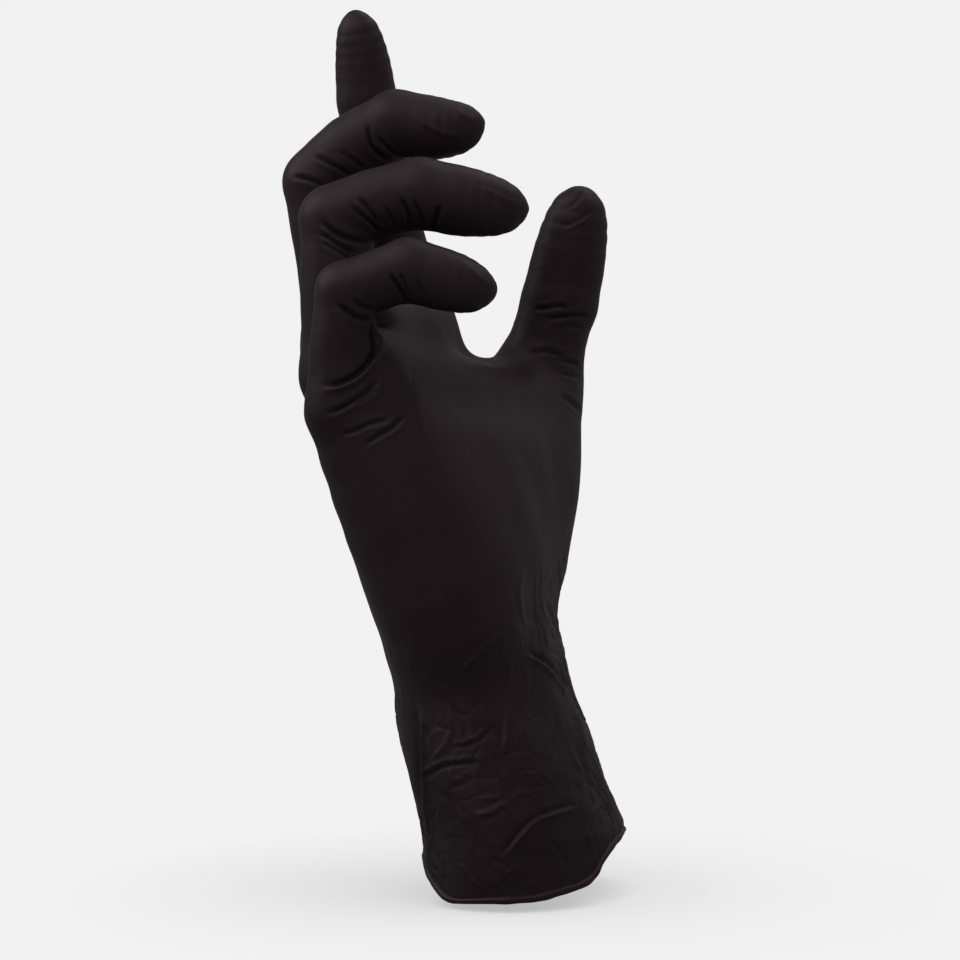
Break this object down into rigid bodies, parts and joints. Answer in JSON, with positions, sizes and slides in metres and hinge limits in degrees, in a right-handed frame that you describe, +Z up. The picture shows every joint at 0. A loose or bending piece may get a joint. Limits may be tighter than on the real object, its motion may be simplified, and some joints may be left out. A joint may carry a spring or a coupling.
{
  "type": "disposable glove",
  "caption": "Thin black disposable nitrile work glove in its worn right-hand shape, hollow, with flexing finger, thumb and wrist zones and a beaded cuff.",
  "frame": {"origin": "centre of the cuff opening, in the plane of the rolled rim", "axes": "+Z up the glove from the cuff to the fingertips, -Y the palm side, +X the thumb side"},
  "size_m": [0.1033, 0.0884, 0.2241],
  "materials": {
    "membrane": "satin",
    "cuff_bead": "satin"
  },
  "bodies": {
    "cuff": {"cuff_bead": "cuff_bead", "cuff_sleeve": "membrane"},
    "wrist": {"wrist_sleeve": "membrane"},
    "hand": {"palm": "membrane"},
    "thumb_base": {"thumb_base": "membrane"},
    "thumb_proximal": {"thumb_proximal": "membrane"},
    "thumb_tip": {"thumb_tip": "membrane"},
    "index_proximal": {"index_proximal": "membrane"},
    "index_middle": {"index_middle": "membrane"},
    "index_tip": {"index_tip": "membrane"},
    "middle_proximal": {"middle_proximal": "membrane"},
    "middle_middle": {"middle_middle": "membrane"},
    "middle_tip": {"middle_tip": "membrane"},
    "ring_proximal": {"ring_proximal": "membrane"},
    "ring_middle": {"ring_middle": "membrane"},
    "ring_tip": {"ring_tip": "membrane"},
    "little_proximal": {"little_proximal": "membrane"},
    "little_middle": {"little_middle": "membrane"},
    "little_tip": {"little_tip": "membrane"}
  },
  "joints": [
    {"name": "wrist_side_bend", "type": "hinge", "parent": "cuff", "child": "wrist", "pos_m": [0.0042, 0.0092, 0.034], "axis": [0, 0.9654, -0.2608], "range_deg": [-12, 12]},
    {"name": "wrist_flexion", "type": "hinge", "parent": "wrist", "child": "hand", "pos_m": [0.007, 0.0154, 0.057], "axis": [1, 0, 0], "range_deg": [-20, 25]},
    {"name": "index_knuckle_bend", "type": "hinge", "parent": "hand", "child": "index_proximal", "pos_m": [0.0323, 0.0428, 0.1405], "axis": [0.9994, 0.0349, 0], "range_deg": [-15, 35]},
    {"name": "index_middle_bend", "type": "hinge", "parent": "index_proximal", "child": "index_middle", "pos_m": [0.0324, 0.0485, 0.1667], "axis": [0.9994, 0.0349, 0], "range_deg": [-5, 60]},
    {"name": "index_tip_bend", "type": "hinge", "parent": "index_middle", "child": "index_tip", "pos_m": [0.0315, 0.0517, 0.189], "axis": [0.9994, 0.0349, 0], "range_deg": [-5, 40]},
    {"name": "middle_knuckle_bend", "type": "hinge", "parent": "hand", "child": "middle_proximal", "pos_m": [0.0091, 0.0526, 0.1406], "axis": [0.9833, 0.1822, 0], "range_deg": [-15, 30]},
    {"name": "middle_middle_bend", "type": "hinge", "parent": "middle_proximal", "child": "middle_middle", "pos_m": [0.0093, 0.0583, 0.1683], "axis": [0.9833, 0.1822, 0], "range_deg": [-55, 15]},
    {"name": "middle_tip_bend", "type": "hinge", "parent": "middle_middle", "child": "middle_tip", "pos_m": [0.0134, 0.038, 0.1832], "axis": [0.9833, 0.1822, 0], "range_deg": [-35, 15]},
    {"name": "ring_knuckle_bend", "type": "hinge", "parent": "hand", "child": "ring_proximal", "pos_m": [-0.0093, 0.0451, 0.1352], "axis": [0.9636, 0.2672, 0], "range_deg": [-15, 30]},
    {"name": "ring_middle_bend", "type": "hinge", "parent": "ring_proximal", "child": "ring_middle", "pos_m": [-0.009, 0.0465, 0.1582], "axis": [0.9636, 0.2672, 0], "range_deg": [-60, 15]},
    {"name": "ring_tip_bend", "type": "hinge", "parent": "ring_middle", "child": "ring_tip", "pos_m": [-0.0033, 0.0269, 0.1652], "axis": [0.9636, 0.2672, 0], "range_deg": [-25, 15]},
    {"name": "little_knuckle_bend", "type": "hinge", "parent": "hand", "child": "little_proximal", "pos_m": [-0.0268, 0.0383, 0.1245], "axis": [0.9613, 0.2756, 0], "range_deg": [-15, 25]},
    {"name": "little_middle_bend", "type": "hinge", "parent": "little_proximal", "child": "little_middle", "pos_m": [-0.026, 0.037, 0.1405], "axis": [0.9613, 0.2756, 0], "range_deg": [-55, 15]},
    {"name": "little_tip_bend", "type": "hinge", "parent": "little_middle", "child": "little_tip", "pos_m": [-0.0216, 0.0237, 0.1456], "axis": [0.9613, 0.2756, 0], "range_deg": [-30, 15]},
    {"name": "thumb_root_swing", "type": "hinge", "parent": "hand", "child": "thumb_base", "pos_m": [0.0299, 0.0113, 0.0743], "axis": [0.9707, 0, -0.2402], "range_deg": [-10, 18]},
    {"name": "thumb_knuckle_bend", "type": "hinge", "parent": "thumb_base", "child": "thumb_proximal", "pos_m": [0.0548, 0.0131, 0.1157], "axis": [0, 1, 0], "range_deg": [-20, 12]},
    {"name": "thumb_tip_bend", "type": "hinge", "parent": "thumb_proximal", "child": "thumb_tip", "pos_m": [0.0575, 0.0083, 0.1363], "axis": [0, 1, 0], "range_deg": [-30, 8]}
  ]
}
